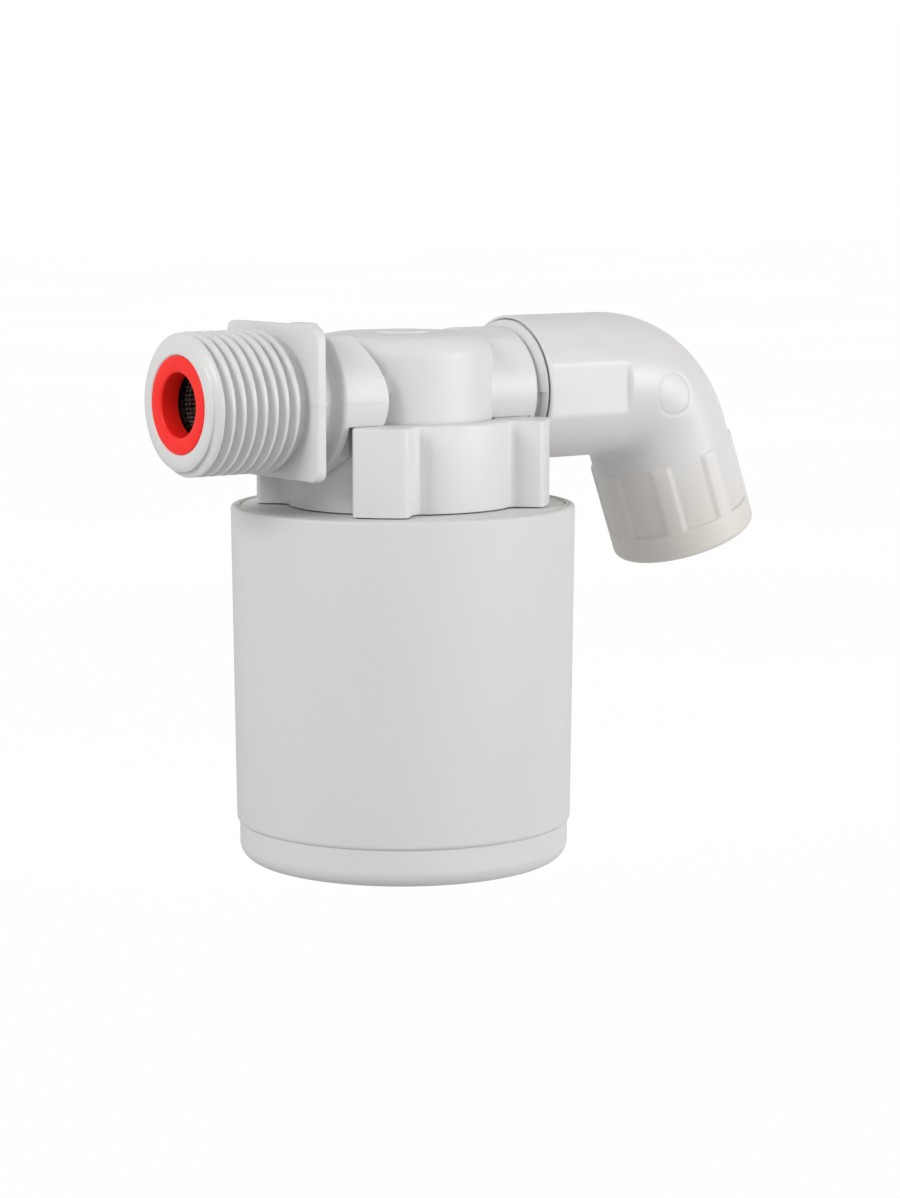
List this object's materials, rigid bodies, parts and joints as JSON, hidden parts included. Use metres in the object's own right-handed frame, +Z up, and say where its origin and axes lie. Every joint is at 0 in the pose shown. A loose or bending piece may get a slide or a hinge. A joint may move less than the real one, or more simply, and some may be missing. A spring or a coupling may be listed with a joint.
{
  "type": "float valve",
  "caption": "Side-inlet tank float valve: threaded inlet with strainer, pilot piston valve under a lobed union nut, cylindrical float and a swivel outlet elbow.",
  "frame": {"origin": "centre of the float's flat underside, on the float's axis", "axes": "+Z up along the float's axis, +X from the threaded inlet towards the outlet elbow"},
  "size_m": [0.1065, 0.052, 0.0822],
  "materials": {
    "body_white": "fine satin moulded plastic",
    "ring_red": "satin red moulded plastic",
    "screen_mesh": "dark woven wire",
    "shell_white": "matte moulded plastic",
    "inner_white": "matte moulded plastic",
    "black_rubber": "matte rubber",
    "brass": "turned brass",
    "stainless": "drawn stainless steel",
    "elbow_white": "slightly translucent glossy plastic"
  },
  "bodies": {
    "valve": {"valve_body": "body_white", "filter_ring": "ring_red", "filter_screen": "screen_mesh", "union_nut": "shell_white", "pilot_housing": "inner_white", "housing_oring": "black_rubber", "pilot_nozzle": "brass", "bleed_pin": "stainless", "float_stop_ring": "inner_white", "piston_spring": "stainless", "elbow_oring": "black_rubber"},
    "float": {"float_barrel": "shell_white", "float_lid": "shell_white", "float_base": "shell_white", "float_well": "inner_white", "pad_holder": "inner_white", "pilot_pad": "black_rubber"},
    "piston": {"main_piston": "inner_white", "piston_seal": "black_rubber", "seat_washer": "black_rubber", "washer_screw": "stainless"},
    "elbow": {"outlet_elbow": "elbow_white", "elbow_clip": "inner_white"}
  },
  "joints": [
    {"name": "float_slide", "type": "slide", "parent": "valve", "child": "float", "axis": [0, 0, 1], "range_m": [-0.006, 0]},
    {"name": "piston_slide", "type": "slide", "parent": "valve", "child": "piston", "axis": [0, 0, 1], "range_m": [-0.0024, 0], "deforming": ["piston_spring"]},
    {"name": "elbow_swivel", "type": "hinge", "parent": "valve", "child": "elbow", "pos_m": [0.01983, 0, 0.0706], "axis": [1, 0, 0], "continuous": true}
  ],
  "couplings": [
    {"joint": "piston_slide", "follows": "float_slide", "ratio": 0.4}
  ]
}
